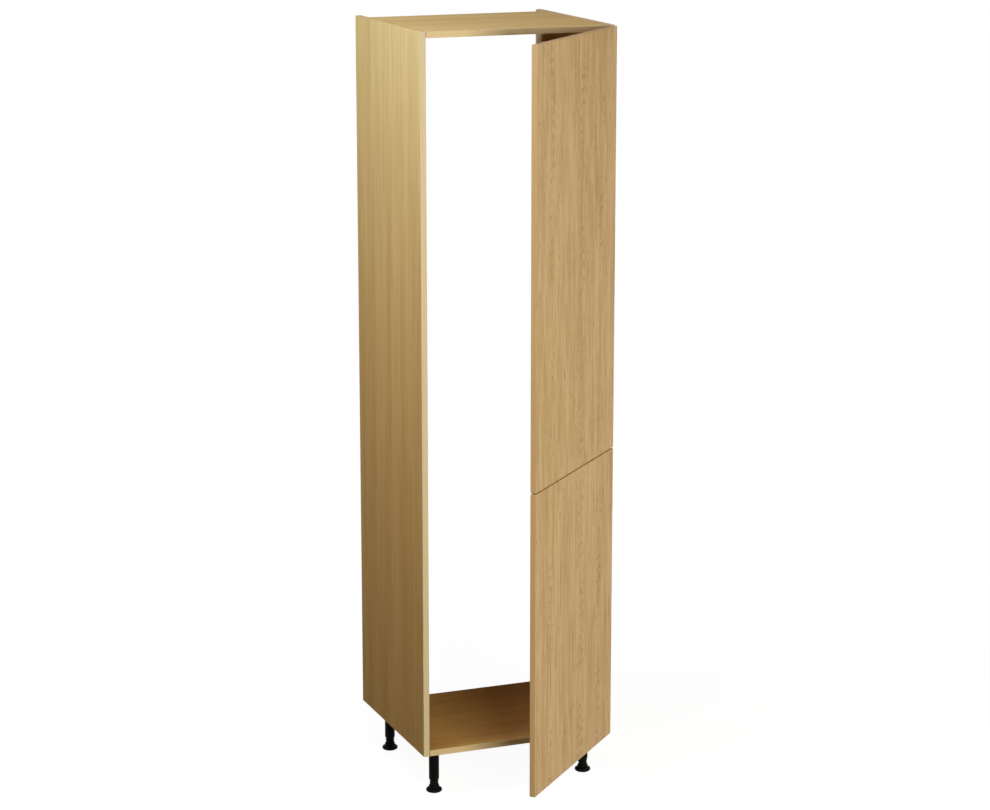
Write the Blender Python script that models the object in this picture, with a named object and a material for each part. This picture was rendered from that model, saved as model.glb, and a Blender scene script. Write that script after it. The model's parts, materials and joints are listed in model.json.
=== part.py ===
"""Tall housing for a built-in fridge freezer, with two doors on concealed hinges.

Metres, +Z up. The front faces -Y and the hinges are at +X. The floor is z = 0, and the origin is
below the middle of the box around the whole unit, whose doors stand 45 degrees open.

Each piece is drawn in the carcass frame: x = 0 midway between the sides, y = 0 at the carcass
front, z = 0 on the floor, with the doors shut. Empties on the hinge axes then turn what moves.
"""
import itertools
import math

import bmesh
import bpy
from mathutils import Matrix, Vector

# Carcass
CARCASS_WIDTH = 0.600
CARCASS_HEIGHT = 2.150
CARCASS_DEPTH = 0.560
BOARD = 0.018
VENT_GAP = 0.072
ARRIS = 0.0005

# Doors, in their own plane and off the carcass
LOWER_DOOR_HEIGHT = 0.895
DOOR_THICKNESS = 0.018
DOOR_EDGE_ROUND = 0.002
SIDE_REVEAL = 0.002
END_REVEAL = 0.002
DOOR_GAP = 0.003
DOOR_STANDOFF = 0.0025
REST_ANGLE = math.radians(45)

# Clearances
SEAT_GAP = 0.0003
OVERRUN = 0.002

# Concealed hinges: cup and its flange
HINGE_FROM_DOOR_END = 0.100
UPPER_HINGE_COUNT = 3
LOWER_HINGE_COUNT = 2
CUP_HOLE_DIAMETER = 0.035
CUP_HOLE_FROM_EDGE = 0.0035
CUP_HOLE_SKIN = 0.0055
CUP_WALL = 0.001
CUP_FLOOR = 0.0008
CUP_PIVOT_FROM_HOLE = 0.0085
FLANGE_LIP = 0.0012
FLANGE_THICKNESS = 0.0009
FLANGE_LENGTH = 0.058
FLANGE_WIDTH = 0.013
FLANGE_CORNER = 0.004
NOTCH_DEPTH = 0.0035

# Concealed hinges: link, arm and mounting plate
HINGE_PIN_DIAMETER = 0.0025
LINK_EYE_DIAMETER = 0.0048
LINK_THICKNESS = 0.0032
LINK_WIDTH = 0.0088
LINK_CLEARANCE = 0.0004
LINK_TURN_SHARE = 0.25
ARM_PIVOT_OFF_SIDE = 0.016
ARM_PIVOT_INTO_CUP = 0.008
ARM_TIP_DIAMETER = 0.0056
ARM_SHEET = 0.0014
ARM_WAIST = 0.012
ARM_LENGTH = 0.066
ARM_FORK_DEPTH = 0.0085
PLATE_SCREW_LINE = 0.037
PLATE_BLOCK_LENGTH = 0.046
PLATE_BLOCK_BEHIND_SCREWS = 0.008
PLATE_BLOCK_HEIGHT = 0.009
PLATE_WING_SPAN = 0.050
PLATE_WING_WIDTH = 0.014
PLATE_WING_THICKNESS = 0.002

# Legs
LEG_HEIGHT = 0.138
LEG_FROM_SIDE = 0.0385
LEG_FROM_FRONT = 0.068
LEG_FROM_REAR = 0.021
FOOT_DISC_DIAMETER = 0.039
FOOT_FLARE_DIAMETER = 0.0472
FOOT_FLARE_LIP = 0.004
FOOT_FLARE_HEIGHT = 0.014
COLLAR_DIAMETER = 0.0314
COLLAR_HEIGHT = 0.008
STEM_DIAMETER = 0.0252
STEM_LENGTH = 0.070
NECK_SHOWING = 0.016
TUBE_WALL = 0.0025
SOCKET_WALL = 0.0028
SOCKET_SLEEVE = 0.015
SOCKET_FLANGE_LENGTH = 0.070
SOCKET_FLANGE_WIDTH = 0.040
SOCKET_FLANGE_THICKNESS = 0.004
SOCKET_FLANGE_CORNER = 0.008

# Corner fittings
CAM_DIAMETER = 0.015
CAM_FROM_SIDE = 0.034
CAM_FROM_FRONT = 0.030
CAM_FROM_REAR = 0.075
CAM_PAST_BOLT = 0.0035
CAM_CROSS_WIDTH = 0.0018
CAM_CROSS_LENGTH = 0.0095
CAM_CROSS_DEPTH = 0.0022
CAM_BOLT_THREAD_DIAMETER = 0.005
CAM_BOLT_SHAFT_DIAMETER = 0.006
CAM_BOLT_NECK_DIAMETER = 0.004
CAM_BOLT_HEAD_LENGTH = 0.003
CAM_BOLT_HOLE_DIAMETER = 0.008
CAM_POCKET_CLEARANCE = 0.0006
SIDE_HOLE_SKIN = 0.007
DOWEL_DIAMETER = 0.008
DOWEL_IN_PANEL = 0.019
DOWEL_CHAMFER = 0.001

# Facets of round pieces
LEG_SIDES = 24
CUP_SIDES = 28
FITTING_SIDES = 16
PIN_SIDES = 12
ROUND_STEPS = 4
SMOOTH_ANGLE = math.radians(35)

# Worked out from the sizes above
carcass_bottom = LEG_HEIGHT
carcass_top = LEG_HEIGHT + CARCASS_HEIGHT
inner_x = CARCASS_WIDTH / 2 - BOARD
panel_half_length = inner_x - SEAT_GAP
panel_depth = CARCASS_DEPTH - VENT_GAP
side_hole_depth = BOARD - SIDE_HOLE_SKIN

door_half_width = CARCASS_WIDTH / 2 - SIDE_REVEAL
door_inner_y = -DOOR_STANDOFF
door_outer_y = -DOOR_STANDOFF - DOOR_THICKNESS
lower_door_span = (carcass_bottom + END_REVEAL, carcass_bottom + END_REVEAL + LOWER_DOOR_HEIGHT)
upper_door_span = (lower_door_span[1] + DOOR_GAP, carcass_top - END_REVEAL)

cup_hole_radius = CUP_HOLE_DIAMETER / 2
cup_hole_depth = DOOR_THICKNESS - CUP_HOLE_SKIN
cup_x = door_half_width - CUP_HOLE_FROM_EDGE - cup_hole_radius
cup_depth = cup_hole_depth - SEAT_GAP
cup_radius = cup_hole_radius - SEAT_GAP
cup_inner_radius = cup_radius - CUP_WALL
cup_pivot_depth = cup_depth - CUP_FLOOR - LINK_EYE_DIAMETER / 2 - LINK_CLEARANCE
arm_pivot = Vector((inner_x - ARM_PIVOT_OFF_SIDE, door_inner_y - ARM_PIVOT_INTO_CUP, 0))
cup_pivot = Vector((
    door_half_width - CUP_HOLE_FROM_EDGE - CUP_PIVOT_FROM_HOLE,
    door_inner_y - cup_pivot_depth,
    0,
))
arm_channel_half = LINK_WIDTH / 2 + SEAT_GAP
arm_half_width = arm_channel_half + ARM_SHEET

# At rest the links have turned back a little and the doors stand open about the cup pivots
link_rest_angle = -LINK_TURN_SHARE * REST_ANGLE
cup_pivot_at_rest = arm_pivot + Matrix.Rotation(link_rest_angle, 3, "Z") @ (cup_pivot - arm_pivot)
free_corner = Vector((-door_half_width + DOOR_EDGE_ROUND, door_outer_y + DOOR_EDGE_ROUND, 0))
free_corner_turned = Matrix.Rotation(REST_ANGLE, 3, "Z") @ (free_corner - cup_pivot)
front_reach = (cup_pivot_at_rest + free_corner_turned).y - DOOR_EDGE_ROUND
carcass_to_world = Vector((0, -(front_reach + CARCASS_DEPTH) / 2, 0))

stem_radius = STEM_DIAMETER / 2
tube_bore_radius = stem_radius + SEAT_GAP
tube_radius = tube_bore_radius + TUBE_WALL
socket_bore_radius = tube_radius + SEAT_GAP
tube_bottom = FOOT_FLARE_HEIGHT + COLLAR_HEIGHT + NECK_SHOWING
socket_top = carcass_bottom - SEAT_GAP
tube_top = socket_top - SOCKET_FLANGE_THICKNESS - SEAT_GAP

ALONG_X = Matrix.Rotation(math.pi / 2, 4, "Y")
ALONG_Y = Matrix.Rotation(-math.pi / 2, 4, "X")


def clear_scene():
    """Start from an empty scene."""
    for thing in list(bpy.data.objects):
        bpy.data.objects.remove(thing, do_unlink=True)


def finish(name, colour, roughness, metallic):
    """Principled material of one colour."""
    material = bpy.data.materials.new(name)
    material.use_nodes = True
    shader = material.node_tree.nodes["Principled BSDF"]
    shader.inputs["Base Color"].default_value = (*colour, 1)
    shader.inputs["Roughness"].default_value = roughness
    shader.inputs["Metallic"].default_value = metallic
    return material


def empty(name, location, parent=None, turn=0):
    """Empty that carries pieces, turned about its own Z."""
    carrier = bpy.data.objects.new(name, None)
    carrier.parent = parent
    carrier.location = location
    carrier.rotation_euler.z = turn
    bpy.context.scene.collection.objects.link(carrier)
    return carrier


def piece(name, shape, parent, location, material=None):
    """Turn a bmesh drawn about its own origin into an object carried by parent."""
    bmesh.ops.recalc_face_normals(shape, faces=shape.faces)
    mesh = bpy.data.meshes.new(name)
    shape.to_mesh(mesh)
    shape.free()
    mesh.shade_smooth()
    mesh.set_sharp_from_angle(angle=SMOOTH_ANGLE)
    made = bpy.data.objects.new(name, mesh)
    if material:
        mesh.materials.append(material)
    made.parent = parent
    made.location = location
    bpy.context.scene.collection.objects.link(made)
    return made


def combine(target, shape, operation):
    """Cut a shape drawn in the target's own coordinates from it, or join the shape to it."""
    step = len(target.modifiers)
    tool = piece(f"{target.name}_tool_{step}", shape, target.parent, target.location)
    tool.hide_render = True
    tool.display_type = "WIRE"
    boolean = target.modifiers.new(f"{operation.lower()}_{step}", "BOOLEAN")
    boolean.operation = operation
    boolean.object = tool


def soften(target, width, segments):
    """Round or chamfer the arrises of a board."""
    bevel = target.modifiers.new("arrises", "BEVEL")
    bevel.width = width
    bevel.segments = segments


def box(low, high, shape=None):
    """Add the box between two corners."""
    shape = shape or bmesh.new()
    corners = [shape.verts.new(point) for point in itertools.product(*zip(low, high))]
    for face in ((0, 1, 3, 2), (4, 6, 7, 5), (0, 4, 5, 1), (2, 3, 7, 6), (0, 2, 6, 4), (1, 5, 7, 3)):
        shape.faces.new([corners[k] for k in face])
    return shape


def prism(outline, low, high, shape=None, turn=Matrix()):
    """Add a closed outline in x and y, extruded from z = low to z = high and then turned."""
    shape = shape or bmesh.new()
    bottom = [shape.verts.new(turn @ Vector((x, y, low))) for x, y in outline]
    top = [shape.verts.new(turn @ Vector((x, y, high))) for x, y in outline]
    shape.faces.new(bottom)
    shape.faces.new(top)
    for k, corner in enumerate(bottom):
        after = (k + 1) % len(bottom)
        shape.faces.new((corner, bottom[after], top[after], top[k]))
    return shape


def circle(radius, sides):
    """Points of a regular outline about the origin."""
    return arc((0, 0), radius, 0, 2 * math.pi * (1 - 1 / sides), sides)


def arc(centre, radius, start, end, points):
    """Points of an arc from one angle to another, both ends included."""
    angles = [start + (end - start) * k / (points - 1) for k in range(points)]
    return [(centre[0] + radius * math.cos(a), centre[1] + radius * math.sin(a)) for a in angles]


def rod(radius, low, high, sides, shape=None, turn=Matrix(), centre=(0, 0)):
    """Add a cylinder along the turned Z axis."""
    outline = [(x + centre[0], y + centre[1]) for x, y in circle(radius, sides)]
    return prism(outline, low, high, shape, turn)


def turned(profile, sides, turn=Matrix()):
    """Solid turned about the Z axis from (radius, height) points that form a closed outline."""
    shape = bmesh.new()
    rings = []
    for radius, height in profile:
        points = [(x, y, height) for x, y in circle(radius, sides)] if radius else [(0, 0, height)]
        rings.append([shape.verts.new(turn @ Vector(point)) for point in points])
    for ring, following in zip(rings, rings[1:] + rings[:1]):
        for k in range(sides):
            ends = (ring[k % len(ring)], ring[(k + 1) % sides % len(ring)])
            starts = (following[(k + 1) % sides % len(following)], following[k % len(following)])
            corners = list(dict.fromkeys(ends + starts))
            if len(corners) > 2:
                shape.faces.new(corners)
    return shape


def carcass_panel(name, low, high, material):
    """Board with its lowest corner as its origin."""
    board = piece(name, box((0, 0, 0), Vector(high) - Vector(low)), unit, low, material)
    soften(board, ARRIS, 1)
    return board


def fitting_places():
    """Depth behind the carcass front of the front cam, the rear cam and the dowel between them."""
    front = CAM_FROM_FRONT
    rear = panel_depth - CAM_FROM_REAR
    return front, rear, (front + rear) / 2


def side_panel(name, hand):
    """Full height side, with blind holes for the cam bolts and dowels. Hand is -1 left, 1 right."""
    outer = hand * CARCASS_WIDTH / 2
    inner = hand * inner_x
    low = Vector((min(outer, inner), 0, carcass_bottom))
    high = Vector((max(outer, inner), CARCASS_DEPTH, carcass_top))
    side = carcass_panel(name, low, high, board_face)
    face = inner - low.x
    start, end = sorted((face - hand * OVERRUN, face + hand * side_hole_depth))
    holes = bmesh.new()
    for height in (BOARD / 2, CARCASS_HEIGHT - BOARD / 2):
        *cams, dowel = fitting_places()
        for y in cams:
            radius = CAM_BOLT_THREAD_DIAMETER / 2 + SEAT_GAP
            rod(radius, start, end, PIN_SIDES, holes, Matrix.Translation((0, y, height)) @ ALONG_X)
        radius = DOWEL_DIAMETER / 2 + SEAT_GAP
        rod(radius, start, end, FITTING_SIDES, holes, Matrix.Translation((0, dowel, height)) @ ALONG_X)
    combine(side, holes, "DIFFERENCE")


def cross_panel(name, bottom):
    """Top or bottom panel, bored from its ends and from its underside for the cams and dowels."""
    low = Vector((-panel_half_length, 0, bottom))
    high = Vector((panel_half_length, panel_depth, bottom + BOARD))
    panel = carcass_panel(name, low, high, board_face)
    cam_x = inner_x - CAM_FROM_SIDE
    pocket_radius = CAM_DIAMETER / 2 + SEAT_GAP
    pocket_depth = BOARD / 2 + CAM_PAST_BOLT
    pockets = bmesh.new()
    holes = bmesh.new()
    *cams, dowel = fitting_places()
    for hand in (-1, 1):
        for y in cams:
            centre = Matrix.Translation((panel_half_length + hand * cam_x, y, 0))
            rod(pocket_radius, -OVERRUN, pocket_depth, FITTING_SIDES, pockets, centre)
            start, end = sorted((0, hand * (CAM_FROM_SIDE + OVERRUN)))
            along = centre @ Matrix.Translation((0, 0, BOARD / 2)) @ ALONG_X
            rod(CAM_BOLT_HOLE_DIAMETER / 2, start, end, PIN_SIDES, holes, along)
        end_x = panel_half_length * (1 + hand)
        start, end = sorted((end_x + hand * OVERRUN, end_x - hand * (DOWEL_IN_PANEL + SEAT_GAP)))
        along = Matrix.Translation((0, dowel, BOARD / 2)) @ ALONG_X
        rod(DOWEL_DIAMETER / 2 + SEAT_GAP, start, end, FITTING_SIDES, holes, along)
    combine(panel, pockets, "DIFFERENCE")
    combine(panel, holes, "DIFFERENCE")


def cam(name, hand, place):
    """Cam disc in its pocket, open towards the bolt, with a cross recess below."""
    height = BOARD / 2 + CAM_PAST_BOLT - SEAT_GAP
    disc = piece(name, rod(CAM_DIAMETER / 2, SEAT_GAP, height, FITTING_SIDES), unit, place, cast_zinc)
    bore = CAM_BOLT_SHAFT_DIAMETER / 2 + CAM_POCKET_CLEARANCE
    start, end = sorted((-hand * bore, hand * (CAM_DIAMETER / 2 + OVERRUN)))
    along = Matrix.Translation((0, 0, BOARD / 2)) @ ALONG_X
    combine(disc, rod(bore, start, end, PIN_SIDES, turn=along), "DIFFERENCE")
    across = Vector((CAM_CROSS_LENGTH / 2, CAM_CROSS_WIDTH / 2, CAM_CROSS_DEPTH))
    below = Vector((0, 0, SEAT_GAP - OVERRUN))
    for reach in (across, Vector((across.y, across.x, across.z))):
        low = below - Vector((reach.x, reach.y, 0))
        combine(disc, box(low, reach), "DIFFERENCE")


def cam_bolt(name, hand, place):
    """Bolt screwed into the side, reaching with its neck and head into the cam at place."""
    side_face = CAM_FROM_SIDE
    head_end = CAM_BOLT_SHAFT_DIAMETER / 2
    neck_start = CAM_DIAMETER / 2
    thread = CAM_BOLT_THREAD_DIAMETER / 2
    shaft = CAM_BOLT_SHAFT_DIAMETER / 2
    neck = CAM_BOLT_NECK_DIAMETER / 2
    profile = (
        (0, -head_end),
        (shaft, -head_end),
        (shaft, CAM_BOLT_HEAD_LENGTH - head_end),
        (neck, CAM_BOLT_HEAD_LENGTH - head_end),
        (neck, neck_start),
        (shaft, neck_start),
        (shaft, side_face - SEAT_GAP),
        (thread, side_face - SEAT_GAP),
        (thread, side_face + side_hole_depth - SEAT_GAP),
        (0, side_face + side_hole_depth - SEAT_GAP),
    )
    turn = ALONG_X if hand > 0 else Matrix.Rotation(math.pi, 4, "Z") @ ALONG_X
    piece(name, turned(profile, PIN_SIDES, turn), unit, place, zinc_plate)


def dowel(name, hand, place):
    """Chamfered dowel half in the side and half in the panel's end."""
    radius = DOWEL_DIAMETER / 2
    start = -DOWEL_IN_PANEL
    end = side_hole_depth - SEAT_GAP
    profile = (
        (0, start),
        (radius - DOWEL_CHAMFER, start),
        (radius, start + DOWEL_CHAMFER),
        (radius, end - DOWEL_CHAMFER),
        (radius - DOWEL_CHAMFER, end),
        (0, end),
    )
    turn = ALONG_X if hand > 0 else Matrix.Rotation(math.pi, 4, "Z") @ ALONG_X
    piece(name, turned(profile, PIN_SIDES, turn), unit, place, beech)


def corner_fittings(level, bottom):
    """Cams, their bolts and the dowel at both ends of the top or bottom panel."""
    front, rear, middle = fitting_places()
    for end, hand in (("left", -1), ("right", 1)):
        cam_x = hand * (inner_x - CAM_FROM_SIDE)
        for depth, y in (("front", front), ("rear", rear)):
            name = f"{level}_{end}_{depth}_cam"
            cam(name, hand, (cam_x, y, bottom))
            cam_bolt(f"{name}_bolt", hand, (cam_x, y, bottom + BOARD / 2))
        dowel(f"{level}_{end}_dowel", hand, (hand * inner_x, middle, bottom + BOARD / 2))


def leg(name, x, y):
    """Socket under the bottom panel, tube in the socket, and foot screwed into the tube."""
    half_length = SOCKET_FLANGE_LENGTH / 2 - SOCKET_FLANGE_CORNER
    half_width = SOCKET_FLANGE_WIDTH / 2 - SOCKET_FLANGE_CORNER
    outline = []
    for quarter, (across, along) in enumerate(((1, 1), (-1, 1), (-1, -1), (1, -1))):
        centre = (across * half_length, along * half_width)
        start = quarter * math.pi / 2
        outline += arc(centre, SOCKET_FLANGE_CORNER, start, start + math.pi / 2, ROUND_STEPS)
    flange = prism(outline, -SOCKET_FLANGE_THICKNESS, 0)
    socket = piece(f"{name}_leg_socket", flange, unit, (x, y, socket_top), black_plastic)
    sleeve_radius = socket_bore_radius + SOCKET_WALL
    sleeve = rod(sleeve_radius, -SOCKET_SLEEVE, -SOCKET_FLANGE_THICKNESS / 2, LEG_SIDES)
    combine(socket, sleeve, "UNION")
    bore = rod(socket_bore_radius, -SOCKET_SLEEVE - OVERRUN, -SOCKET_FLANGE_THICKNESS, LEG_SIDES)
    combine(socket, bore, "DIFFERENCE")

    tube_profile = (
        (tube_bore_radius, tube_bottom),
        (tube_radius, tube_bottom),
        (tube_radius, tube_top),
        (tube_bore_radius, tube_top),
    )
    piece(f"{name}_leg_tube", turned(tube_profile, LEG_SIDES), unit, (x, y, 0), black_plastic)

    collar = COLLAR_DIAMETER / 2
    flare = FOOT_FLARE_DIAMETER / 2
    shoulder = (FOOT_FLARE_LIP + FOOT_FLARE_HEIGHT) / 2
    foot_profile = (
        (0, 0),
        (FOOT_DISC_DIAMETER / 2, 0),
        (flare, FOOT_FLARE_LIP),
        ((flare + collar) / 2, shoulder),
        (collar, FOOT_FLARE_HEIGHT),
        (collar, FOOT_FLARE_HEIGHT + COLLAR_HEIGHT),
        (stem_radius, FOOT_FLARE_HEIGHT + COLLAR_HEIGHT),
        (stem_radius, FOOT_FLARE_HEIGHT + COLLAR_HEIGHT + STEM_LENGTH),
        (0, FOOT_FLARE_HEIGHT + COLLAR_HEIGHT + STEM_LENGTH),
    )
    axis = empty(f"{name}_foot_axis", (x, y, 0), unit)
    piece(f"{name}_leg_foot", turned(foot_profile, LEG_SIDES), axis, (0, 0, 0), black_plastic)


def door(name, span, heights, axis):
    """Slab door with a blind hole for each hinge cup."""
    low = Vector((-door_half_width, door_outer_y, span[0]))
    size = Vector((2 * door_half_width, DOOR_THICKNESS, span[1] - span[0]))
    slab = piece(name, box((0, 0, 0), size), axis, low - cup_pivot, door_face)
    soften(slab, DOOR_EDGE_ROUND, ROUND_STEPS)
    holes = bmesh.new()
    for height in heights:
        centre = Matrix.Translation((cup_x - low.x, DOOR_THICKNESS, height - low.z)) @ ALONG_Y
        rod(cup_hole_radius, -cup_hole_depth, OVERRUN, CUP_SIDES, holes, centre)
    combine(slab, holes, "DIFFERENCE")


def flange_outline():
    """Round plate over the cup with a wing above and below it, in the door's plane."""
    round_radius = cup_hole_radius + FLANGE_LIP
    half_width = FLANGE_WIDTH / 2
    corner_x = half_width - FLANGE_CORNER
    corner_z = FLANGE_LENGTH / 2 - FLANGE_CORNER
    wing_angle = math.acos(half_width / round_radius)
    outline = []
    for turn in (0, math.pi):
        right = arc((0, 0), round_radius, turn - wing_angle, turn + wing_angle, CUP_SIDES // 2)
        first = (math.cos(turn) * corner_x, math.cos(turn) * corner_z)
        second = (-first[0], first[1])
        quarter = math.pi / 2
        outline += right
        outline += arc(first, FLANGE_CORNER, turn, turn + quarter, ROUND_STEPS)
        outline += arc(second, FLANGE_CORNER, turn + quarter, turn + 2 * quarter, ROUND_STEPS)
    return outline


def hinge_cup(name, height, axis):
    """Pressed cup with its flange and the pin that the link turns on."""
    place = Vector((cup_x, door_inner_y, height)) - cup_pivot
    flange_top = SEAT_GAP + FLANGE_THICKNESS
    flange = prism(flange_outline(), SEAT_GAP, flange_top, turn=ALONG_Y)
    cup = piece(name, flange, axis, place, nickel_plate)
    body = rod(cup_radius, -cup_depth, SEAT_GAP + FLANGE_THICKNESS / 2, CUP_SIDES, turn=ALONG_Y)
    combine(cup, body, "UNION")
    mouth = rod(cup_inner_radius, CUP_FLOOR - cup_depth, flange_top + OVERRUN, CUP_SIDES, turn=ALONG_Y)
    combine(cup, mouth, "DIFFERENCE")
    notch_half = LINK_WIDTH / 2 + LINK_CLEARANCE
    pivot_x = cup_pivot.x - cup_x
    notch_end = cup_hole_radius + FLANGE_LIP + OVERRUN
    notch = box((pivot_x, -NOTCH_DEPTH, -notch_half), (notch_end, flange_top + OVERRUN, notch_half))
    combine(cup, notch, "DIFFERENCE")
    wall_middle = cup_radius - CUP_WALL / 2
    pin_half = math.sqrt(wall_middle**2 - pivot_x**2)
    pin_centre = (pivot_x, -cup_pivot_depth)
    combine(cup, rod(HINGE_PIN_DIAMETER / 2, -pin_half, pin_half, PIN_SIDES, centre=pin_centre), "UNION")


def hinge_link(name, height, axis):
    """Straight link with an eye for the arm's pin and one for the cup's pin."""
    reach = cup_pivot - arm_pivot
    length = math.hypot(reach.x, reach.y)
    lie = Matrix.Rotation(math.atan2(reach.y, reach.x), 4, "Z")
    half_width = LINK_WIDTH / 2
    eye = LINK_EYE_DIAMETER / 2
    neck_angle = math.asin(LINK_THICKNESS / LINK_EYE_DIAMETER)
    points = FITTING_SIDES - ROUND_STEPS
    outline = arc((0, 0), eye, neck_angle, 2 * math.pi - neck_angle, points)
    outline += arc((length, 0), eye, neck_angle - math.pi, math.pi - neck_angle, points)
    shape = prism(outline, -half_width, half_width, turn=lie)
    link = piece(name, shape, axis, (0, 0, height), nickel_plate)
    holes = bmesh.new()
    for centre in ((0, 0), (length, 0)):
        radius = HINGE_PIN_DIAMETER / 2 + SEAT_GAP
        rod(radius, -half_width - OVERRUN, half_width + OVERRUN, PIN_SIDES, holes, lie, centre)
    combine(link, holes, "DIFFERENCE")


def hinge_arm(name, height):
    """Channel over the mounting plate, narrowing to a fork whose pin carries the link."""
    web_inner = inner_x - PLATE_BLOCK_HEIGHT - SEAT_GAP
    web_outer = web_inner - ARM_SHEET
    cheek_edge = inner_x - PLATE_WING_THICKNESS - 2 * SEAT_GAP
    tip = ARM_TIP_DIAMETER / 2
    tip_left = arm_pivot.x - tip
    outline = arc(arm_pivot, tip, math.pi, 2 * math.pi, FITTING_SIDES // 2 + 1)
    outline += [
        (cheek_edge, ARM_WAIST),
        (cheek_edge, ARM_LENGTH),
        (web_outer, ARM_LENGTH),
        (web_outer, ARM_WAIST),
    ]
    shape = prism(outline, -arm_half_width, arm_half_width)
    arm = piece(name, shape, unit, (0, 0, height), nickel_plate)
    fork_end = arm_pivot.y + ARM_FORK_DEPTH
    slope = (web_outer - tip_left) / (ARM_WAIST - arm_pivot.y)
    web_at_fork = tip_left + slope * ARM_FORK_DEPTH + ARM_SHEET
    clear_left = tip_left - OVERRUN
    clear_right = cheek_edge + OVERRUN
    clear_front = arm_pivot.y - tip - OVERRUN
    clear_rear = ARM_LENGTH + OVERRUN
    channel = [
        (web_inner, clear_rear),
        (web_inner, ARM_WAIST),
        (web_at_fork, fork_end),
        (clear_left, fork_end),
        (clear_left, clear_front),
        (clear_right, clear_front),
        (clear_right, clear_rear),
    ]
    combine(arm, prism(channel, -arm_channel_half, arm_channel_half), "DIFFERENCE")
    pin_half = arm_channel_half + ARM_SHEET / 2
    pin = rod(HINGE_PIN_DIAMETER / 2, -pin_half, pin_half, PIN_SIDES, centre=arm_pivot.xy)
    combine(arm, pin, "UNION")


def hinge_plate(name, height):
    """Mounting plate with two screw wings on the side panel and a block inside the arm."""
    face = inner_x - SEAT_GAP
    block_half = arm_channel_half - SEAT_GAP
    wing_front = PLATE_SCREW_LINE - PLATE_WING_WIDTH / 2
    wing_low = (face - PLATE_WING_THICKNESS, wing_front, -PLATE_WING_SPAN / 2)
    wing_high = (face, wing_front + PLATE_WING_WIDTH, PLATE_WING_SPAN / 2)
    plate = piece(name, box(wing_low, wing_high), unit, (0, 0, height), nickel_plate)
    middle = PLATE_SCREW_LINE + PLATE_BLOCK_BEHIND_SCREWS
    block_low = (inner_x - PLATE_BLOCK_HEIGHT, middle - PLATE_BLOCK_LENGTH / 2, -block_half)
    block_high = (face - PLATE_WING_THICKNESS / 2, middle + PLATE_BLOCK_LENGTH / 2, block_half)
    combine(plate, box(block_low, block_high), "UNION")


def hinge_heights(span, count):
    """Heights of a door's hinges, evenly spaced between the ones near its ends."""
    low = span[0] + HINGE_FROM_DOOR_END
    high = span[1] - HINGE_FROM_DOOR_END
    return [low + (high - low) * k / (count - 1) for k in range(count)]


def hung_door(level, span, count):
    """Door with its cups on one empty, its links on another, and its arms and plates fixed."""
    heights = hinge_heights(span, count)
    link_axis = empty(f"{level}_link_axis", arm_pivot, unit, link_rest_angle)
    door_axis = empty(f"{level}_door_axis", cup_pivot_at_rest, unit, REST_ANGLE)
    door(f"{level}_door", span, heights, door_axis)
    for number, height in enumerate(heights, 1):
        name = f"{level}_hinge_{number}"
        hinge_cup(f"{name}_cup", height, door_axis)
        hinge_link(f"{name}_link", height, link_axis)
        hinge_arm(f"{name}_arm", height)
        hinge_plate(f"{name}_plate", height)


clear_scene()
unit = empty("unit", carcass_to_world)

board_face = finish("carcass_board", (0.56, 0.41, 0.23), 0.45, 0)
door_face = finish("door_board", (0.50, 0.34, 0.16), 0.45, 0)
beech = finish("beech", (0.58, 0.40, 0.22), 0.6, 0)
black_plastic = finish("black_plastic", (0.012, 0.012, 0.013), 0.35, 0)
nickel_plate = finish("nickel_plate", (0.62, 0.61, 0.58), 0.25, 1)
zinc_plate = finish("zinc_plate", (0.55, 0.56, 0.57), 0.35, 1)
cast_zinc = finish("cast_zinc", (0.42, 0.42, 0.43), 0.45, 1)

side_panel("left_side_panel", -1)
side_panel("right_side_panel", 1)
for panel_level, panel_bottom in (("bottom", carcass_bottom), ("top", carcass_top - BOARD)):
    cross_panel(f"{panel_level}_panel", panel_bottom)
    corner_fittings(panel_level, panel_bottom)

leg_x = inner_x - LEG_FROM_SIDE
for leg_name, leg_y in (("front", LEG_FROM_FRONT), ("rear", panel_depth - LEG_FROM_REAR)):
    leg(f"{leg_name}_left", -leg_x, leg_y)
    leg(f"{leg_name}_right", leg_x, leg_y)

hung_door("upper", upper_door_span, UPPER_HINGE_COUNT)
hung_door("lower", lower_door_span, LOWER_HINGE_COUNT)
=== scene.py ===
import json
import math

import bmesh
import bpy
import numpy as np
from mathutils import Matrix, Vector


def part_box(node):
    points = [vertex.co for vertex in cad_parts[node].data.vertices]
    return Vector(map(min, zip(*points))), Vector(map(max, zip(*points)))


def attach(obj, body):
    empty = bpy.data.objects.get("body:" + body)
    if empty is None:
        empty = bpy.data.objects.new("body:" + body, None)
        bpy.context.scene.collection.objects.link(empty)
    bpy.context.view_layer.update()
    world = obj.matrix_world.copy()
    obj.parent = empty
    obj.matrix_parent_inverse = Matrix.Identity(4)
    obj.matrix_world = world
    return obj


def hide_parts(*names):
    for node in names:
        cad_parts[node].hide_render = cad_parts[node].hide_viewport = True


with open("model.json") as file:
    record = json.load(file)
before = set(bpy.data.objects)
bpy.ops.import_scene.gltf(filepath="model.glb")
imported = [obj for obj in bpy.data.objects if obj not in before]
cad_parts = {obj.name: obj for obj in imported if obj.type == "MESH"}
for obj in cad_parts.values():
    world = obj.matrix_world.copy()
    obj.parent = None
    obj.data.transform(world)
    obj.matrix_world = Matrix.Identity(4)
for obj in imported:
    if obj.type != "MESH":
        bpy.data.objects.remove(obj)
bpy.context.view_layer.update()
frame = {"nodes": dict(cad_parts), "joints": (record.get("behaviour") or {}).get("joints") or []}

# Carcass sides. Two full-height boards of 18 mm chipboard, faced with a printed light-oak foil whose
# grain runs up them. Their front edges are closed with a paler edging strip, and the holes bored
# for the fittings show the raw chipboard.
SIDE_LIGHT = (0.765, 0.556, 0.223)
SIDE_DARK = (0.648, 0.445, 0.157)
SIDE_LINE = (0.505, 0.323, 0.113)
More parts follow.
